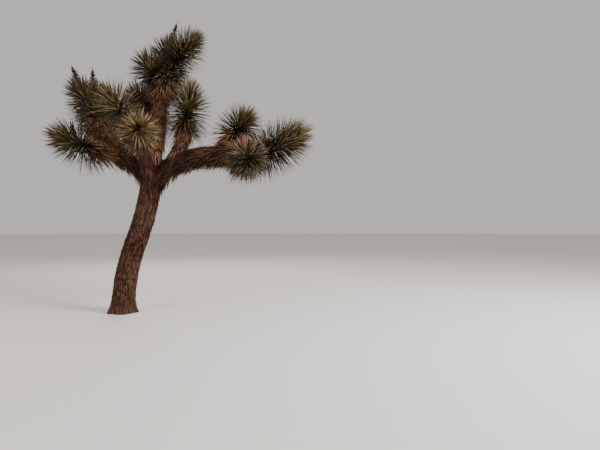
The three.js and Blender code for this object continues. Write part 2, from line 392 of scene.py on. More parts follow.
@dataclass
class Seats:
    """Where the copies of a blade go, one row each: frames, sizes, bends and tints."""

    root: Array
    along: Array
    face: Array
    length: Array
    half_width: Array
    bend: Array
    twist: Array
    tint: Array

    def only(self, kept: Array) -> "Seats":
        """The rows that a mask keeps."""
        return Seats(*(values[kept] for values in vars(self).values()))


@dataclass(frozen=True)
class Blade:
    """A blade that is modelled once and copied: a cross-section carried from its root to a point.

    The section's corners are (across, up), and a ring is (share of the length, width, thickness).
    """

    section: tuple[Pair, ...]
    rings: tuple[Triple, ...]

    def pattern(self) -> Shape:
        """Models the blade by extruding its root face ring by ring, and closes both ends.

        Returns:
            Its vertices and triangles, with the length along Y.
        """
        ob = added(MESH_OPS.primitive_circle_add, vertices=len(self.section), fill_type="NGON")
        share, width, thick = self.rings[0]
        for vertex, (across, up) in zip(ob.data.vertices, self.section):
            vertex.co = (across * width, share, up * thick)
        bpy.ops.object.mode_set(mode="EDIT")
        MESH_OPS.select_all(action="SELECT")
        for next_share, next_width, next_thick in self.rings[1:]:
            step = {"value": (0.0, next_share - share, 0.0)}
            MESH_OPS.extrude_region_move(TRANSFORM_OT_translate=step)
            scale = (next_width / width, 1.0, next_thick / thick)
            bpy.ops.transform.resize(value=scale, center_override=(0.0, next_share, 0.0))
            share, width, thick = next_share, next_width, next_thick
        MESH_OPS.extrude_region_move(TRANSFORM_OT_translate={"value": (0.0, 1.0 - share, 0.0)})
        MESH_OPS.merge(type="CENTER")
        MESH_OPS.select_all(action="DESELECT")
        MESH_OPS.select_non_manifold()
        MESH_OPS.edge_face_add()
        MESH_OPS.select_all(action="SELECT")
        MESH_OPS.quads_convert_to_tris()
        MESH_OPS.normals_make_consistent(inside=False)
        bpy.ops.object.mode_set(mode="OBJECT")
        return mesh_arrays(ob, remove=True)

    def lay(self, name: str, seats: Seats, half_thick: float, tints: Sequence[Tint]) -> Piece:
        """Copies the blade to every seat, in one piece.

        Args:
            name: The piece's name.
            seats: Where the copies go.
            half_thick: Half of a copy's thickness, in metres.
            tints: The finishes that the seats' tint numbers stand for.

        Returns:
            The joined piece.
        """
        vertices, triangles = self.pattern()
        across = np.cross(seats.along, seats.face)
        x, y, z = vertices.T
        turn = column(seats.twist) * y
        wide = column(seats.half_width) * (x * np.cos(turn) - z * np.sin(turn) * 0.3)
        tall = half_thick * z * np.cos(turn) + column(seats.half_width) * x * np.sin(turn)
        places = seats.root[:, None] + seats.along[:, None] * (column(seats.length) * y)[..., None]
        places += across[:, None] * wide[..., None] + seats.face[:, None] * tall[..., None]
        places += seats.bend[:, None] * (y * y)[None, :, None]
        corners = repeated(triangles, len(seats.length), len(vertices))
        ob = joined_piece(name, places.reshape(-1, 3), corners)
        for tint in tints:
            ob.data.materials.append(tint.value.material())
        numbers = np.repeat(seats.tint, len(triangles)).astype(np.int32)
        ob.data.polygons.foreach_set("material_index", numbers)
        return ob


# A dagger leaf has a channel along its upper side and a keel below, and ends in a spine
DAGGER = Blade(
    section=((-1.0, 0.9), (0.0, -0.1), (1.0, 0.9), (0.0, -1.0)),
    rings=((0.03, 0.8, 1.0), (0.25, 1.0, 0.85), (0.65, 0.78, 0.6)),
)

# A dead leaf has dried to a thin strap that rolls in along its edges
DRY_STRAP = Blade(
    section=((-1.0, 0.5), (1.0, 0.5), (0.0, -1.0)),
    rings=((0.0, 0.8, 1.0), (0.3, 1.0, 0.9), (0.7, 0.62, 0.7)),
)

# A flake of cork is a short thick wedge
FLAKE = Blade(
    section=((-1.0, 0.2), (-0.1, 1.0), (1.0, 0.1), (0.0, -1.0)),
    rings=((0.0, 0.55, 0.6), (0.3, 1.0, 1.0), (0.8, 0.75, 0.8)),
)


# Limbs

PATH_STEPS = 24
TURN_SHARE = 0.3
SEAM = 0.3
COLLAR_REACH = 110


@dataclass(eq=False)
class Limb:
    """One tapering limb. Lengths and radii are in millimetres, bearings are (heading, rise) in degrees."""

    name: str
    length: float
    radii: Pair
    bearings: Sequence[Pair]
    on: Optional["Limb"] = None
    at: float = 0.0
    collar: float = 0.0

    def __post_init__(self) -> None:
        """Lays out the centre line, in metres. A limb on a tip starts along its carrier's heading."""
        self.span = self.length * MM
        self.on_tip = self.on is not None and self.at == 1
        own = [bearing_vector(bearing) for bearing in self.bearings]
        own = own * 2 if len(own) == 1 else own
        start = TURN_SHARE if self.on_tip else 0.0
        self.knots = [(mix(start, 1.0, i / (len(own) - 1)), heading) for i, heading in enumerate(own)]
        if self.on_tip:
            self.knots.insert(0, (0.0, self.on.headings[-1]))
        self.places, self.headings, self.sides = self._centre_line()

    def _heading_at(self, t: float) -> Array:
        """The heading at a share of the length.

        Args:
            t: The share.

        Returns:
            The heading, at length one.
        """
        last = len(self.knots) - 1
        later = next(i for i in range(1, last + 1) if self.knots[i][0] >= t or i == last)
        (t0, start), (t1, end) = self.knots[later - 1], self.knots[later]
        return unit(mix(start, end, (t - t0) / (t1 - t0)))

    def _centre_line(self) -> tuple[Array, ...]:
        """Places, headings and side vectors at even steps from the foot to the tip.

        Returns:
            The three, one row for each step.
        """
        place, side = np.zeros(3), np.array([1.0, 0.0, 0.0])
        if self.on:
            seats = self.on.stations(np.array([self.at]))
            place, side = seats[0][0], seats[2][0]
            if self.on_tip:
                place = place + seats[1][0] * SEAM * MM
        rows = []
        for i in range(PATH_STEPS + 1):
            heading = self._heading_at(i / PATH_STEPS)
            side = square_to(side, heading)
            rows.append((place, heading, side))
            place = place + self._heading_at(min(1.0, (i + 0.5) / PATH_STEPS)) * (self.span / PATH_STEPS)
        return tuple(np.array(values) for values in zip(*rows))

    def stations(self, t: Array) -> tuple[Array, ...]:
        """Places, headings and side vectors at shares of the length.

        Args:
            t: The shares.

        Returns:
            The three, one row for each share.
        """
        reach = np.clip(t, 0, 1) * PATH_STEPS
        i = np.minimum(PATH_STEPS - 1, np.floor(reach)).astype(int)
        share = column(reach - i)
        line = (self.places, self.headings, self.sides)
        place, heading, side = (mix(rows[i], rows[i + 1], share) for rows in line)
        heading = unit(heading)
        return place, heading, square_to(side, heading)

    def radius_at(self, t: Array, angle: Array | float = 0.0) -> Array:
        """The outer radius at shares of the length, thatch included, in metres."""
        return (mix(*self.radii, t) + self.collar * np.exp(-t * self.length / COLLAR_REACH)) * MM

    def round_at(self, t: Array, angle: Array) -> tuple[Array, ...]:
        """Places on the centre line, headings, and the way out at an angle round it."""
        place, heading, side = self.stations(t)
        return place, heading, swung(side, np.cross(side, heading), angle)

    def nearest(self, points: Array) -> tuple[Array, Array]:
        """Distances from points to the centre line, and the shares of the length where those are.

        Args:
            points: The points, (n, 3).

        Returns:
            The distances and the shares.
        """
        start, step = self.places[:-1], np.diff(self.places, axis=0)
        away = points[:, None] - start
        along = np.clip(np.sum(away * step, axis=2) / np.sum(step * step, axis=1), 0, 1)
        distance = np.linalg.norm(away - along[..., None] * step, axis=2)
        best = distance.argmin(axis=1)
        rows = np.arange(len(points))
        return distance[rows, best], (best + along[rows, best]) / PATH_STEPS


@dataclass(eq=False)
class Trunk(Limb):
    """The trunk. Its foot swells, with a lobe over each main root."""

    flare: float = 56
    flare_reach: float = 130
    lobes: int = 5
    lobe_share: float = 0.3

    def radius_at(self, t: Array, angle: Array | float = 0.0) -> Array:
        """The outer radius, in metres."""
        swell = self.flare * np.exp(-t * self.length / self.flare_reach)
        return super().radius_at(t) + swell * (1 + self.lobe_share * np.cos(self.lobes * angle)) * MM


@dataclass(eq=False)
class Head(Limb):
    """A head of leaves round the last stretch of a branch, on its carrier's tip.

    Its leaves are dead from the share dead_from on down, and fold back along the branch by fold. Their
    number, crowd, and their length, leaf_size, stand beside the usual. A dead side and a flower stalk
    are a bearing with the share of leaves that died there, or with the stalk's length.
    """

    leafage: Live = Live.USUAL
    skirt: Dead = Dead.ROSE
    dead_from: float = 0.74
    fold: float = 0
    crowd: float = 1
    dead_side: Optional[Aimed] = None
    leaf_size: float = 1.0
    stalk: Optional[Aimed] = None

    def radius_at(self, t: Array, angle: Array | float = 0.0) -> Array:
        """The radius of the branch inside the leaves, which closes with a dome at the apex."""
        into = np.maximum(0, (t - 0.8) / 0.2)
        return mix(*self.radii, t) * np.sqrt(np.maximum(0.04, 1 - into * into)) * MM


@dataclass
class Crown:
    """All the limbs and heads, and the room that they leave to a leaf. Millimetres."""

    wood: Sequence[Limb]
    heads: Sequence[Head]
    meshing: float = 150
    clearance: float = 6
    inside_share: float = 0.86

    def outside(self, points: Array, own: Limb) -> Array:
        """True where a point is clear of every limb but its own."""
        near = ((limb.radius_at, *limb.nearest(points)) for limb in self.wood if limb is not own)
        return np.all([(gap > self.inside_share * radius(t)) | (t <= 0) for radius, gap, t in near], axis=0)

    def fitted(self, seats: Seats, own: Head, least: float) -> Seats:
        """Leaves cut short where another limb or head has the room.

        Args:
            seats: The leaves at their full length.
            own: Their head.
            least: The share of its length that a leaf keeps at least, or is left out.

        Returns:
            The leaves that are left.
        """
        shares = np.linspace(0.3, 1, 8)
        reach = seats.length[:, None] * shares
        points = seats.root[:, None] + seats.along[:, None] * reach[..., None]
        points = points + seats.bend[:, None] * (shares**2)[None, :, None]
        flat = points.reshape(-1, 3)
        own_distance, _ = own.nearest(flat)
        free = flat[:, 2] > 0.01
        for limb in self.wood:
            if limb is not own.on:
                distance, t = limb.nearest(flat)
                free &= distance > limb.radius_at(t) + self.clearance * MM
        for head in self.heads:
            if head is not own:
                distance, _ = head.nearest(flat)
                free &= distance - own_distance > -self.meshing * MM
        blocked = ~free.reshape(points.shape[:2])
        first = np.where(blocked.any(axis=1), blocked.argmax(axis=1), len(shares))
        kept = np.where(first == 0, 0, shares[np.maximum(first - 1, 0)])
        seats.length = seats.length * kept
        seats.bend = seats.bend * column(kept)
        return seats.only(kept > least)


# Bark


def swellings(draws: Draws, turn: Array, t: Array, columns: int, rows: int) -> Array:
    """Smooth swellings between -1 and 1, closed round the stem.

    Args:
        draws: The piece's random draws.
        turn: Shares of a turn round the stem.
        t: Shares of its length.
        columns: How many swellings go round.
        rows: How many there are from foot to tip.

    Returns:
        The swelling at each place.
    """
    heights = draws.uniform(-1, 1, (rows + 2, columns))
    around, along = (turn * columns) % columns, t * rows
    x0, y0 = np.floor(around).astype(int), np.floor(along).astype(int)
    fx, fy = smoothstep(around - x0, 0, 1), smoothstep(along - y0, 0, 1)
    rings = (np.clip(y, 0, rows + 1) for y in (y0, y0 + 1))
    low, high = (mix(heights[y, x0 % columns], heights[y, (x0 + 1) % columns], fx) for y in rings)
    return mix(low, high, fy)


def cells(girth: float, length: float, width: float, height: float, least: Pair = (0, 0)) -> Pair:
    """How many cells of a size go round a stem, and how many from its foot to its tip."""
    return max(least[0], round(girth / width)), max(least[1], round(length / height))


@dataclass(frozen=True)
class BarkRelief:
    """The plates that a stem's cork has split into, with lumps and fibres. Millimetres."""

    plate_width: float = 25
    plate_length: float = 130
    furrow_depth: float = 11
    lump: float = 12
    lump_size: float = 260
    ring_step: float = 9
    side_step: float = 6.5
    crack: float = 3.5
    fibre: float = 1.6
    fibre_width: float = 12
    fibre_length: float = 38


TRUNK_RELIEF = BarkRelief()
BOUGH_RELIEF = BarkRelief(26, 70, 8, 6, 180, 13, 13)
STUB_RELIEF = BarkRelief(22, 60, 9, 5, 120, 7, 6)
HEAD_RELIEF = BarkRelief(18, 30, 6, 3, 120, 13, 13)

# The share of a bough's radius that is wood, under its thatch
THIN_WOOD = 0.8


@dataclass
class BarkSkin:
    """The mesh of a stem, for the limb's solid: a grid rolled into a tube, with its cork's relief on it."""

    name: str
    limb: Limb
    relief: BarkRelief
    finish: BarkFinish
    slot: str = "thatch"
    thin: float = 1.0

    def build(self) -> None:
        """Makes the skin."""
        limb, relief = self.limb, self.relief
        self.draws = draws_for(limb.name + "_bark")
        self.stem = TURN * max(limb.radii), limb.length
        sides, rings = cells(*self.stem, relief.side_step, relief.ring_step, (12, 4))
        ob = added(MESH_OPS.primitive_grid_add, x_subdivisions=sides, y_subdivisions=rings, size=1)
        ob.name = ob.data.name = self.name
        flat, _ = mesh_arrays(ob)
        self.turn, self.t = flat[:, 0] + 0.5, flat[:, 1] + 0.5
        angle = TURN * self.turn
        raised, tone = self._plates()
        coarse = cells(*self.stem, relief.lump_size, relief.lump_size, (3, 2))
        fine = cells(*self.stem, relief.fibre_width, relief.fibre_length)
        lumps, fibres = (swellings(self.draws, self.turn, self.t, *grid) for grid in (coarse, fine))
        step = relief.furrow_depth * (raised * (0.7 + 0.5 * tone) - 0.8)
        heights = (step + relief.lump * lumps + relief.fibre * fibres) * MM
        place, _, out = limb.round_at(self.t, angle)
        places = place + out * column(limb.radius_at(self.t, angle) * self.thin + heights)
        ob.data.vertices.foreach_set("co", places.ravel())
        for key, values in (("raised", raised), ("tone", tone)):
            attribute = ob.data.attributes.new(key, "FLOAT", "POINT")
            attribute.data.foreach_set("value", values.astype(np.float32))
        self._close()
        ob.data.materials.append(self.finish.material())
        hand_over(ob, limb.name)

    def _plates(self) -> tuple[Array, Array]:
        """Cells with jittered centres, as long plates that interlock, closed round the stem.

        Returns:
            How raised each place is, from 0 in a furrow to 1 on a plate, and each plate's own tone.
        """
        columns, rows = cells(*self.stem, self.relief.plate_width, self.relief.plate_length)
        around = (self.turn * columns) % columns
        along = self.t * rows + 0.3 * np.sin(TURN * (self.turn + 3.1 * self.t))
        limits = ((0.12, 0.88), (0.1, 0.9), (0, 1))
        centre_x, centre_y, tones = (self.draws.uniform(*pair, (rows + 3, columns)) for pair in limits)
        column_at, row_at = np.floor(around).astype(int), np.floor(along).astype(int)
        distances, near_tones = [], []
        for step_x in (-1, 0, 1):
            for step_y in (-1, 0, 1):
                x = (column_at + step_x) % columns
                y = np.clip(row_at + step_y + 1, 0, rows + 2)
                across = np.abs(column_at + step_x + centre_x[y, x] - around)
                up = np.abs(row_at + step_y + centre_y[y, x] - along)
                distances.append((across**2.6 + up**2.6) ** (1 / 2.6))
                near_tones.append(tones[y, x])
        distance = np.array(distances)
        own = distance.argmin(axis=0)
        number = np.arange(len(distance))[:, None]
        crack = np.where(number // 3 == own // 3, self.relief.crack, 1)
        gap = np.where(number == own, 9, (distance - distance.min(axis=0)) * crack).min(axis=0)
        return smoothstep(gap, 0.02, 0.4), np.array(near_tones)[own, np.arange(len(own))]

    @staticmethod
    def _close() -> None:
        """Joins the rolled grid's long edges, closes both ends and turns the faces out."""
        bpy.ops.object.mode_set(mode="EDIT")
        MESH_OPS.select_all(action="SELECT")
        MESH_OPS.remove_doubles(threshold=1e-5)
        MESH_OPS.fill_holes(sides=0)
        MESH_OPS.select_all(action="SELECT")
        MESH_OPS.normals_make_consistent(inside=False)
        bpy.ops.object.mode_set(mode="OBJECT")
        bpy.ops.object.shade_smooth_by_angle(angle=math.radians(60))


# What grows on a limb


@dataclass
class Coat:
    """Blades that grow on a limb, in one piece. Lengths are in millimetres and angles in degrees."""

    name: str
    limb: Limb
    crown: Crown

    def __post_init__(self) -> None:
        """Readies the draws, and the list of finishes that grows as they are dealt."""
        self.draws = draws_for(self.name)
        self.tints: list[Tint] = []

    def even(self, low: float, high: float) -> Array:
        """A number for each blade, evenly between two."""
        return self.draws.uniform(low, high, self.count)

    def spread(self, width: float, middle: float = 0) -> Array:
        """A number for each blade, spread round a middle."""
        return self.draws.normal(middle, width, self.count)

    def deal(self, palette: Enum, order: Array) -> Array:
        """Deals a finish to each blade, each finish as often as its share says.

        Args:
            palette: Each finish with its share.
            order: A number for each blade. The lowest ones take the palette's first finish.

        Returns:
            For each blade, the number of its finish in the list.
        """
        self.tints += [tint for tint in palette.value if tint not in self.tints]
        numbers = np.array([self.tints.index(tint) for tint in palette.value])
        shares = np.cumsum(list(palette.value.values()))
        rank = (order.argsort().argsort() + 0.5) / len(order)
        return numbers[np.searchsorted(shares / shares[-1], rank)]

    def laid_back(self, heading: Array, out: Array, lift: Array, sway: float) -> Array:
        """Directions that lie back along the limb, at angles in radians, and stray to a side by a sway."""
        aside = np.cross(heading, out) * column(self.spread(sway))
        return swung(-heading, out, lift) + aside

    def build(self) -> None:
        """Copies the blade to its seats, which also deal the finishes."""
        seats = self.seats()
        ob = self.blade.lay(self.name, seats, self.half_thick * MM, self.tints)
        hand_over(ob, self.limb.name)


@dataclass
class CorkFlakes(Coat):
    """Loose flakes of cork that lie on the trunk's plates and point down."""

    blade, slot = FLAKE, "bark"
    per_square_metre: float = 2600
    length: Pair = (45, 130)
    half_width: Pair = (2.8, 6.8)
    half_thick: float = 2.6
    lift: Pair = (2, 9)
    sunk: float = 7

    def seats(self) -> Seats:
        """Seats all over the bark, clear of the boughs and of the ground.

        Returns:
            The seats that are clear.
        """
        trunk = self.limb
        self.count = round(self.per_square_metre * (TURN * trunk.radii[0] * MM) * trunk.span)
        t, angle = self.even(0.06, 1), self.even(0, TURN)
        place, heading, out = trunk.round_at(t, angle)
        along = unit(self.laid_back(heading, out, np.radians(self.even(*self.lift)), 0.09))
        seats = Seats(
            root=place + out * column(trunk.radius_at(t, angle) - self.sunk * MM),
            along=along,
            face=square_to(out, along),
            length=self.even(*self.length) * MM,
            half_width=self.even(*self.half_width) * MM,
            bend=out * column(self.even(-2, 7) * MM),
            twist=self.spread(0.15),
            tint=self.deal(Dead.FLAKED_CORK, self.even(0, 1)),
        )
        tip = seats.root + seats.along * column(seats.length)
        return seats.only(self.crown.outside(seats.root, trunk) & (tip[:, 2] > 4 * MM))


@dataclass
class Splinters(Coat):
    """The broken end of a dead stub: fibres of uneven length that stand up from it."""

    blade, slot = FLAKE, "deadwood"
    count: int = 150
    length: Pair = (12, 48)
    half_width: Pair = (2.5, 6)
    half_thick: float = 2.2
    sunk: float = 6

    def seats(self) -> Seats:
        """Seats over the broken face, the longest near its rim.

        Returns:
            The seats.
        """
        angle = self.even(0, TURN)
        share = np.sqrt(self.even(0.05, 0.96))
        place, heading, out = self.limb.round_at(np.ones(self.count), angle)
        along = unit(heading + out * column(0.3 * share) + self.draws.normal(0, 0.1, (self.count, 3)))
        return Seats(
            root=place + out * column(share * self.limb.radii[1] * MM) - heading * self.sunk * MM,
            along=along,
            face=square_to(out, along),
            length=mix(*self.length, share * self.even(0, 1)) * MM,
            half_width=self.even(*self.half_width) * MM,
            bend=np.zeros((self.count, 3)),
            twist=self.spread(0.2),
            tint=self.deal(Dead.SPLINTERED, self.even(0, 1)),
        )


@dataclass
class Thatch(Coat):
    """Dead leaves that clothe a bough, lying back towards its foot."""

    palette: Dead
    blade, slot = DRY_STRAP, "thatch"
    per_square_metre: float = 2500
    length: Pair = (100, 220)
    half_width: Pair = (3.8, 7.5)
    half_thick: float = 1.8
    lift: float = 12
    lift_spread: float = 15
    hang: float = 0.22
    fringe: float = 0.6
    start: float = 0.02
    tuft_size: float = 110
    sunk: float = 4

    def seats(self) -> Seats:
        """Seats all over the bough, clear of the other limbs, and hanging lowest under its foot.

        Returns:
            The seats that are clear.
        """
        limb = self.limb
        self.count = round(self.per_square_metre * (math.pi * sum(limb.radii) * MM) * limb.span)
        t, angle = self.even(self.start, 1), self.even(0, TURN)
        place, heading, out = limb.round_at(t, angle)
        # Dead leaves dry in tufts, and each stands up with its neighbours
        tufts = cells(math.pi * sum(limb.radii), limb.length, self.tuft_size, self.tuft_size, (3, 2))
        tuft = 1.3 * swellings(self.draws, angle / TURN, t, *tufts) + self.spread(0.4)
        lift = np.radians(np.maximum(2, self.lift + tuft * self.lift_spread))
        along = self.laid_back(heading, out, lift, 0.3)
        under = smoothstep(-out[:, 2], 0.1, 0.9) * np.clip(0.6 + 0.5 * tuft, 0, 1.6)
        under = under * (1 + 0.4 * (1 - smoothstep(t, 0.1, 0.4)))
        along = turned_out(unit(along - UP * column(self.hang + self.fringe * under)), out, 0.06)
        length = self.even(*self.length) * MM
        # The tint order mixes random age, tufts that stand up and deal paler, and painted light and shade:
        # paler on the upper side, where sun-bleaching is real too, darker underneath and near the bough's
        # foot.
        age_and_painted_shade = self.spread(0.9) - tuft - 0.6 * out[:, 2] + 1.6 * (1 - smoothstep(t, 0, 0.4))
        seats = Seats(
            root=place + out * column(limb.radius_at(t) * THIN_WOOD - self.sunk * MM),
            along=along,
            face=square_to(out, along),
            length=length,
            half_width=self.even(*self.half_width) * MM,
            bend=(out * column(self.spread(0.07, 0.02)) - UP * 0.05) * column(length),
            twist=self.spread(0.7),
            tint=self.deal(self.palette, age_and_painted_shade),
        )
        return seats.only(self.crown.outside(seats.root, limb))


@dataclass
class Skirt(Coat):
    """Dead leaves that hang back round the foot of a head."""

    blade, slot = DRY_STRAP, "dead_leaves"
    per_metre: float = 560
    length: Pair = (190, 330)
    half_width: Pair = (4.5, 8)
    half_thick: float = 1.8
    stand: Pair = (3, 26)
    hang: float = 0.3
    over_head: float = 0.6
    over_bough: float = 300
    bulge_out: Pair = (0.32, 0.54)
    bulge_back: float = 0.86

    def seats(self) -> Seats:
        """Seats round the head's foot and the bough's tip. Where the head folds, they bulge and hang.

        Returns:
            The seats that have room.
        """
        head = self.limb
        low, high = -self.over_bough, self.over_head * head.length
        self.count = round(self.per_metre * (high - low) * MM)
        depth, angle = self.even(low, high), self.even(0, TURN)
        own = head.round_at(np.clip(depth / head.length, 0, 1), angle)
        carrier = head.on.round_at(1 + np.minimum(0, depth) / head.on.length, angle)
        place, heading, out = (np.where(column(depth >= 0), a, b) for a, b in zip(own, carrier))
        stand = np.radians(mix(*self.stand, self.draws.beta(1.6, 2.0, self.count)))
        along = turned_out(unit(self.laid_back(heading, out, stand, 0.16) - UP * self.hang), out, 0.1)
        bulge = column(head.fold * smoothstep(depth, 0, 0.25 * head.length))
        along = unit(mix(along, out - heading * 0.35, bulge))
        back = out * column(self.even(*self.bulge_out)) - heading * self.bulge_back - along
        bend = mix(out * column(self.spread(0.08, -0.03)) - UP * 0.1, back, bulge)
        length = self.even(*self.length) * MM
        seats = Seats(
            root=place + out * (0.6 * head.radii[0] * MM),
            along=along,
            face=square_to(out, along),
            length=length,
            half_width=self.even(*self.half_width) * MM,
            bend=bend * column(length),
            twist=self.spread(0.8),
            # Painted light and shade: skirt leaves deal paler on the upper side, sun-bleached too, and
            # darker underneath.
            tint=self.deal(head.skirt, self.spread(0.7) - 0.6 * out[:, 2]),
        )
        return self.crown.fitted(seats, head, 0.4)


@dataclass
class LiveLeaves(Coat):
    """A head's leaves, set by the rule of the solids at a living head's count."""

    blade, slot = DAGGER, "leaves"
    per_metre: float = 900
    apex_leaves: int = 115
    below_apex: float = 25
    above_foot: float = 45
    crowding: float = 1.3
    lean: Pair = (4, 128)
    lean_power: float = 0.62
    lean_jitter: float = 18
    folded_out: Pair = (0.34, 0.58)
    folded_back: float = 0.86
    side_droop: float = 0.3
    droop: float = 0.3
    grown: Pair = (350, 415)
    full_from: float = 0.35
    wither: float = 30
    length_jitter: float = 0.22
    half_width: Pair = (8, 11)
    half_thick: float = 3.2
    shade: float = 0.55
    under_shade: float = 0.4

    def seats(self) -> Seats:
        """Seats from the upright leaves at the apex to the dry ones at the foot.

        Returns:
            The seats that have room.
        """
        head = self.limb
        usual = self.per_metre * head.span + self.apex_leaves
        self.count = round(usual * head.crowd / head.leaf_size**1.5)
        order = np.arange(self.count)
        u = (order + 0.5) / self.count
        aged = u + self.spread(0.05)
        lean = np.radians(mix(*self.lean, u**self.lean_power) + self.lean_jitter * self.even(-0.5, 0.5))
        spin = order * GOLDEN_ANGLE + 0.3 * self.even(-0.5, 0.5)
        depth = mix(self.below_apex, head.length - self.above_foot, u**self.crowding)
        place, heading, out = head.round_at(1 - depth / head.length, spin)
        if head.dead_side:
            bearing, share = head.dead_side
            aged = aged + share * np.maximum(0, out @ bearing_vector(bearing) + self.spread(0.3))
        dry = smoothstep(aged, head.dead_from, head.dead_from + 0.12)
        along = unit(swung(heading, out, lean) - UP * column(self.droop * u * u))
        grown = mix(*self.grown, smoothstep(u, 0, self.full_from)) - self.wither * u
        length = head.leaf_size * grown * (1 + self.length_jitter * self.even(-0.5, 0.5)) * MM
        bend = square_to(heading, along) * column(self.spread(0.03, 0.01) - 0.05 * dry)
        bend = bend - UP * column(0.01 + 0.03 * u + 0.12 * dry)
        folded = out * column(self.even(*self.folded_out)) - heading * self.folded_back
        bend = mix(bend, folded - along, column(head.fold * dry))
        bend = bend - heading * column(head.fold * self.side_droop * smoothstep(u, 0.3, 0.7) * (1 - dry))
        length = length * (1 - head.fold * dry * (0.15 + 0.35 * depth / head.length))
        # Painted light and shade: dead leaves deal paler on the upper side, sun-bleached too, and darker
        # underneath; the SHADED tints are painted shade, with some ageing, for leaves deep in the head, and
        # painted shade for leaves that face down.
        fresh, shaded = (self.deal(palette, self.even(0, 1)) for palette in (head.leafage, Live.SHADED))
        dead = self.deal(head.skirt, self.spread(1) - 0.6 * out[:, 2])
        shade = self.shade * smoothstep(u, 0.15, 0.6) + self.under_shade * np.maximum(0, -out[:, 2])
        live = np.where(self.even(0, 1) < shade, shaded, fresh)
        seats = Seats(
            root=place,
            along=along,
            face=square_to(heading, along),
            length=length,
            half_width=self.even(*self.half_width) * head.leaf_size * MM * (1 - 0.2 * dry),
            bend=bend * column(length),
            twist=self.spread(0.12) * (1 + 4 * dry),
            tint=np.where(dry > 0.5, dead, live),
        )
        return self.crown.fitted(seats, head, 0.45)


# Flower stalks


@dataclass
class FlowerStalk:
    """A dried flower stalk on a head's apex: a stem, shortening branchlets, and seed pods on them."""

    name: str
    head: Head
    stem_radius: float = 9
    twig_radius: float = 3.2
    cluster_radius: float = 64
    sunk: float = 70
    branchlets: int = 66
    pods_each: int = 4
    pod_length: float = 17
    pod_radius: float = 7.5
    pod_sunk: float = 4

    def build(self) -> None:
        """Makes the stalk, in one piece."""
        draws = draws_for(self.name)
        bearing, length = self.head.stalk
        axis = bearing_vector(bearing)
        foot = self.head.places[-1]
        across = np.array([0.0, 1.0, 0.0])
        side = square_to(across, axis)
        order = np.arange(self.branchlets)
        out = swung(side, np.cross(axis, side), order * GOLDEN_ANGLE)
        up_share = mix(0.22, 0.95, (order + 0.5) / self.branchlets)
        reach = np.interp(up_share, (0.22, 0.36, 0.66, 1.0), (0.6, 1.0, 0.7, 0.05)) * self.cluster_radius
        reach = reach * draws.uniform(0.75, 1.0, self.branchlets) * MM
        start = foot + axis * column(up_share * length * MM * 0.93)
        along = unit(out + axis * column(draws.uniform(0.5, 1.1, self.branchlets)))
        twig = reach / np.maximum(0.3, np.sum(along * out, axis=1))
        shares = np.linspace(0.35, 1, self.pods_each)
        pod_root = (start[:, None] + along[:, None] * (twig[:, None] * shares)[..., None]).reshape(-1, 3)
        pod_along = unit(np.repeat(along, self.pods_each, axis=0) + draws.normal(0, 0.5, pod_root.shape))
        pod_root = pod_root - pod_along * self.pod_sunk * MM
        size = draws.uniform(0.75, 1.2, len(pod_root)) * MM
        stem_root, stem = foot[None] - axis * self.sunk * MM, (length + self.sunk) * MM
        rod, pod, tilted = self._rod(), self._pod(), np.array([0.3, 0.2, 0.9])
        parts = (
            stood(rod, stem_root, axis[None], across, stem, self.stem_radius * MM),
            stood(rod, start, along, axis, twig, self.twig_radius * MM),
            stood(pod, pod_root, pod_along, tilted, self.pod_length * size, self.pod_radius * size),
        )
        base = np.cumsum([0] + [len(points) for points, _ in parts])
        corners = np.concatenate([triangles + first for (_, triangles), first in zip(parts, base)])
        ob = joined_piece(self.name, np.concatenate([points for points, _ in parts]), corners)
        ob.data.materials.append(Tint.SEED_POD.value.material())
        hand_over(ob, self.head.name)

    @staticmethod
    def _rod() -> Shape:
        """A tapering rod that stands on Z, of length and radius one.

        Returns:
            Its vertices and triangles.
        """
        shape = {"vertices": 6, "radius1": 1, "radius2": 0.45, "depth": 1, "location": (0, 0, 0.5)}
        ob = added(MESH_OPS.primitive_cone_add, **shape)
        bpy.ops.object.transform_apply(location=True)
        return mesh_arrays(ob, remove=True)

    @staticmethod
    def _pod() -> Shape:
        """A seed pod that stands on Z: an egg that is pinched at its foot.

        Returns:
            Its vertices and triangles.
        """
        ob = added(MESH_OPS.primitive_ico_sphere_add, subdivisions=1, radius=1, location=(0, 0, 0))
        points, corners = mesh_arrays(ob, remove=True)
        rise = (points[:, 2] + 1) / 2
        points[:, :2] *= column(0.7 + 0.5 * rise * (1 - rise) * 2)
        points[:, 2] = rise
        return points, corners


def stood(shape: Shape, root: Array, along: Array, near: Array, length: Array, radius: Array) -> Shape:
    """Copies of a shape that stands on Z.

    Args:
        shape: The shape.
        root: Where each copy stands.
        along: What its Z turns to.
        near: A direction that its X turns to as nearly as it can.
        length: Its scale along Z.
        radius: Its scale across.

    Returns:
        Vertices and triangles.
    """
    points, corners = shape
    x, y, z = points.T
    face = square_to(near, along)
    places = root[:, None] + along[:, None] * (column(length) * z)[..., None]
    places = places + face[:, None] * (column(radius) * x)[..., None]
    places = places + np.cross(along, face)[:, None] * (column(radius) * y)[..., None]
    return places.reshape(-1, 3), repeated(corners, len(root), len(points))


# The tree


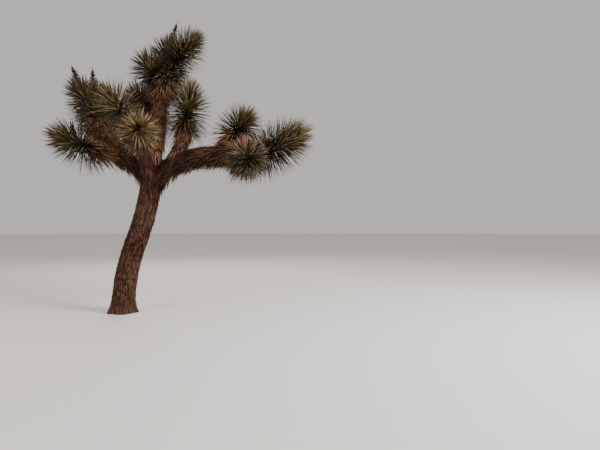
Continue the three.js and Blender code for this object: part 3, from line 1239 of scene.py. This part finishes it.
# Name, length, radii, bearings, carrier, place on it, collar and thatch
BOUGHS = (
    ("leader", 1280, (140, 100), [(32, 83), (15, 83)], "trunk", 1, 24, Dead.BLEACHED),
    ("right_bough", 1610, (158, 150), [(5, 62), (-11, 10), (-9, -3)], "trunk", 0.86, 8, Dead.UMBER),
    ("left_bough", 770, (130, 112), [(-176, 68), (-163, 14)], "trunk", 0.875, 8, Dead.UMBER),
    ("front_bough", 850, (96, 78), [(-94, 57), (-82, 20)], "trunk", 0.92, 18, Dead.UMBER),
    ("back_bough", 1110, (104, 80), [(111, 51), (119, 30)], "trunk", 0.94, 18, Dead.UMBER),
    ("middle_left_bough", 760, (92, 78), [(-98, 58), (-132, 51)], "trunk", 0.97, 16, Dead.TAN),
    ("upper_left_bough", 870, (96, 82), [(-179, 46), (160, 48)], "left_bough", 0.5, 12, Dead.BLEACHED),
    ("behind_bough", 420, (84, 74), [(105, 54), (131, 52)], "leader", 0.4, 12, Dead.UMBER),
    ("right_inner_bough", 460, (128, 112), [(5, 56), (0, 72)], "right_bough", 0.28, 14, Dead.ROSE),
    ("right_upper_bough", 450, (90, 80), [(34, 21), (-2, 54)], "right_bough", 0.68, 8, Dead.ROSE),
)

# Name, carrier, length, bearings, leaves, skirt and looks
HEADS = (
    ("top_right", "leader", 795, [(-17, 55), (-8, 40)], Live.DARK, Dead.FAWN, {}),
    ("top_left", "leader", 360, [(-122, 26), (-104, 36)], Live.DARK, Dead.BLEACHED, {}),
    ("top_middle", "leader", 690, [(95, 55), (41, 77)], Live.DARK, Dead.FAWN, {"stalk": ((-4, 75), 520)}),
    ("behind", "behind_bough", 440, [(157, 49)], Live.DARK, Dead.ROSE, {}),
    ("left_tip", "left_bough", 690, [(-166, 18), (178, 20)], Live.DARK, Dead.FAWN,
     {"leaf_size": 1.06, "fold": 0.8, "dead_side": ((0, 80), 0.36)}),
    ("upper_left_outer", "upper_left_bough", 630, [(170, 64), (-177, 56)], Live.DARK, Dead.BLEACHED,
     {"leaf_size": 0.94, "stalk": ((180, 68), 480)}),
    ("upper_left_inner", "upper_left_bough", 720, [(108, 48), (146, 51)], Live.USUAL, Dead.BLEACHED,
     {"stalk": ((180, 87), 490)}),
    ("middle_left", "middle_left_bough", 420, [(-123, 53), (-139, 47)], Live.PALE, Dead.TAN,
     {"leaf_size": 1.06}),
    ("front", "front_bough", 420, [(-71, 6)], Live.SUNLIT, Dead.RUSSET, {"leaf_size": 0.8, "crowd": 0.7}),
    ("back_left", "back_bough", 770, [(137, 37)], Live.USUAL, Dead.ROSE, {}),
    ("back_right", "back_bough", 550, [(82, 53)], Live.USUAL, Dead.TAN, {}),
    ("right_inner", "right_inner_bough", 650, [(-11, 86), (1, 79)], Live.USUAL, Dead.ORANGE,
     {"leaf_size": 1.08, "fold": 1, "crowd": 1.45, "dead_from": 0.66}),
    ("right_upper", "right_upper_bough", 340, [(20, 47), (22, 53)], Live.EVEN, Dead.TAN,
     {"leaf_size": 1.02, "crowd": 1.3}),
    ("right_lower", "right_bough", 480, [(-76, -17), (-70, -25)], Live.DARK, Dead.DUSKY,
     {"leaf_size": 0.9, "dead_from": 0.64, "dead_side": ((150, 60), 0.45)}),
    ("right_tip", "right_bough", 870, [(25, 12), (-2, 34)], Live.EVEN, Dead.ROSE,
     {"leaf_size": 1.18, "crowd": 1.6, "dead_from": 0.72, "dead_side": ((0, 80), 0.3)}),
)


class JoshuaTree:
    """The limbs, the heads, and the order in which they are dressed."""

    def __init__(self) -> None:
        """Lays out the limbs and heads."""
        self.trunk = Trunk("trunk", 2300, (166, 150), [(0, 90), (0, 69), (0, 86)])
        limbs, self.boughs = {"trunk": self.trunk}, {}
        for name, length, radii, bearings, on, at, collar, palette in BOUGHS:
            limbs[name] = Limb(name, length, radii, bearings, limbs[on], at, collar)
            self.boughs[limbs[name]] = palette
        self.stub = Limb("old_stub", 270, (58, 48), [(-74, 22)], limbs["right_bough"], 0.22)
        self.heads = []
        for place, on, length, bearings, live, dead, looks in HEADS:
            radii = (0.62 * limbs[on].radii[1], 26)
            head = Head("foliage_" + place, length, radii, bearings, limbs[on], 1, 0, live, dead, **looks)
            self.heads.append(head)
        self.crown = Crown([*limbs.values(), self.stub], self.heads)

    def build(self) -> None:
        """Dresses every limb and head."""
        BarkSkin("trunk_bark", self.trunk, TRUNK_RELIEF, BARK, "bark").build()
        CorkFlakes("trunk_flakes", self.trunk, self.crown).build()
        for limb, palette in self.boughs.items():
            BarkSkin(limb.name + "_wood", limb, BOUGH_RELIEF, UNDER_THATCH, thin=THIN_WOOD).build()
            Thatch(limb.name + "_thatch", limb, self.crown, palette).build()
        BarkSkin("old_stub_wood", self.stub, STUB_RELIEF, DEAD_STUB, "deadwood").build()
        Splinters("old_stub_splinters", self.stub, self.crown).build()
        for head in self.heads:
            place = head.name.removeprefix("foliage_")
            BarkSkin("branch_" + place, head, HEAD_RELIEF, UNDER_THATCH).build()
            LiveLeaves("leaves_" + place, head, self.crown).build()
            Skirt("skirt_" + place, head, self.crown).build()
            if head.stalk:
                FlowerStalk("flower_stalk_" + place, head).build()


# The studio


@dataclass(frozen=True)
class Studio:
    """A pale floor, soft lights and the camera, at the height and distance that the photo gives."""

    camera_place: Triple = (2.752, -7.0, 1.356)
    focal_pixels: float = 449.0
    frame_width: float = 600.0
    sensor_width: float = 36.0
    floor_radius: float = 70.0
    floor_colour: str = "E9E4DE"
    sky_colour: str = "F1ECE8"
    sky_strength: float = 0.68
    softboxes: tuple[tuple[str, Triple, float, float], ...] = (
        ("key_softbox", (10.8, -4.6, 6.2), 4.0, 1720.0),
        ("fill_softbox", (-5.0, -7.5, 4.5), 5.0, 260.0),
        ("back_softbox", (-1.5, 8.5, 7.0), 5.0, 320.0),
    )
    aim: Triple = (0.8, 0.0, 2.4)

    def build(self) -> None:
        """Makes the camera, the floor and the lights."""
        self._camera()
        self._floor()
        self._lights()

    def _camera(self) -> None:
        """Makes the camera, level, looking along +Y."""
        data = bpy.data.cameras.new("camera")
        data.sensor_width = self.sensor_width
        data.lens = self.focal_pixels / self.frame_width * self.sensor_width
        camera = linked("camera", data)
        camera.location = self.camera_place
        camera.rotation_euler = (math.pi / 2, 0, 0)
        bpy.context.scene.camera = camera

    def _floor(self) -> None:
        """Makes the floor, a wide disc at the ground."""
        disc = {"vertices": 96, "radius": self.floor_radius, "fill_type": "NGON"}
        floor = added(MESH_OPS.primitive_circle_add, **disc)
        floor.name = "floor"
        material, surface = fresh_material("pale_studio_floor", 0.9)
        surface.inputs["Base Color"].default_value = linear(self.floor_colour)
        floor.data.materials.append(material)

    def _lights(self) -> None:
        """Makes the even light from all round, and the softboxes: name, place, side and power in watts."""
        world = bpy.data.worlds.new("studio")
        world.use_nodes = True
        background = world.node_tree.nodes["Background"]
        background.inputs["Color"].default_value = linear(self.sky_colour)
        background.inputs["Strength"].default_value = self.sky_strength
        bpy.context.scene.world = world
        for name, place, side, power in self.softboxes:
            data = bpy.data.lights.new(name, "AREA")
            data.size = side
            data.energy = power
            light = linked(name, data)
            light.location = place
            light.rotation_euler = (Vector(self.aim) - Vector(place)).to_track_quat("-Z", "Y").to_euler()


def main() -> None:
    """Builds the studio and the tree."""
    logging.basicConfig(level=logging.INFO, format="%(message)s")
    Studio().build()
    JoshuaTree().build()


if __name__ == "__main__":
    main()
